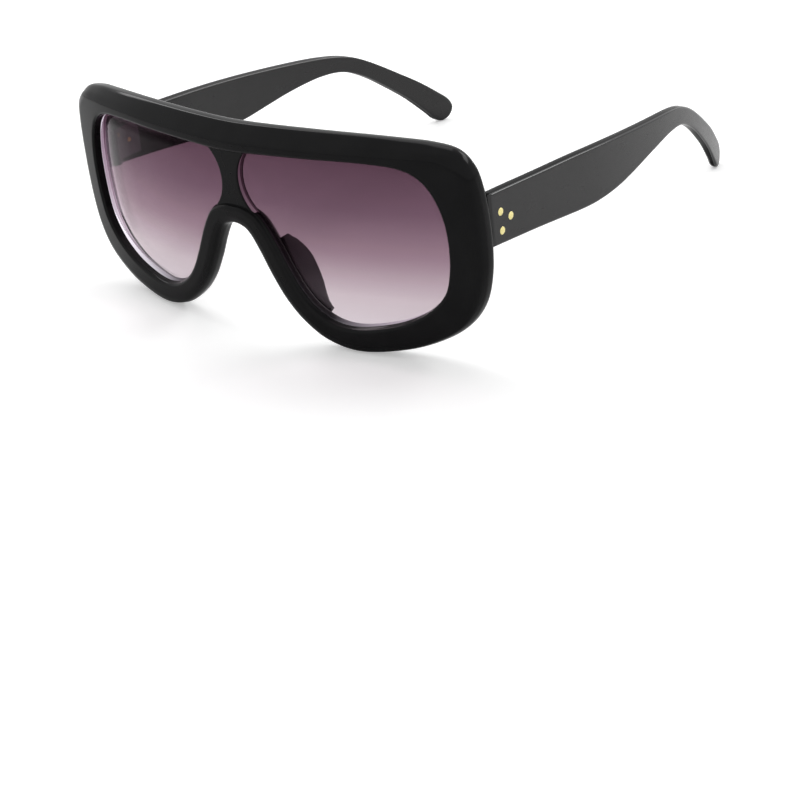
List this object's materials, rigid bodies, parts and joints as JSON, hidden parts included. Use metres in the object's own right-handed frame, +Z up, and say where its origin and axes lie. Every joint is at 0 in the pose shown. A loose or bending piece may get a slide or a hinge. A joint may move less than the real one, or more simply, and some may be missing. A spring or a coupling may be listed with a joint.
{
  "type": "oversized sunglasses",
  "caption": "Wide glossy black sunglasses with a wrapped one-window front, a heavy sloped brow, graduated smoke lenses and broad folding temples pinned by flush rivets.",
  "frame": {"origin": "on the surface that the glasses stand on, midway across them and midway from the front to the temple tips", "axes": "+X across the face to the right of someone who looks at the lenses, +Y from the front towards the temple tips, +Z up"},
  "size_m": [0.1466, 0.159, 0.0608],
  "materials": {
    "gloss_black": "polished black acetate",
    "temple_black": "polished black acetate",
    "pad_grey": "polished smoke grey acetate",
    "smoke_lens": "clear, tinted from dark plum at the top to almost clear at the bottom",
    "hinge_steel": "satin",
    "screw_steel": "turned",
    "rivet_brass": "polished, pale gold",
    "wire_steel": "drawn"
  },
  "bodies": {
    "front": {"front_frame": "gloss_black", "left_lens": "smoke_lens", "right_lens": "smoke_lens", "left_nose_pad": "pad_grey", "right_nose_pad": "pad_grey", "left_front_leaf": "hinge_steel", "right_front_leaf": "hinge_steel", "left_hinge_screw": "screw_steel", "right_hinge_screw": "screw_steel"},
    "left_side": {"left_temple": "temple_black", "left_temple_leaf": "hinge_steel", "left_rivets": "rivet_brass", "left_core_wire": "wire_steel"},
    "right_side": {"right_temple": "temple_black", "right_temple_leaf": "hinge_steel", "right_rivets": "rivet_brass", "right_core_wire": "wire_steel"}
  },
  "joints": [
    {"name": "left_temple_fold", "type": "hinge", "parent": "front", "child": "left_side", "pos_m": [-0.06685, -0.05895, 0.0364], "axis": [0, 0, -1], "range_deg": [0, 83]},
    {"name": "right_temple_fold", "type": "hinge", "parent": "front", "child": "right_side", "pos_m": [0.06685, -0.05895, 0.0364], "axis": [0, 0, 1], "range_deg": [0, 70]}
  ]
}
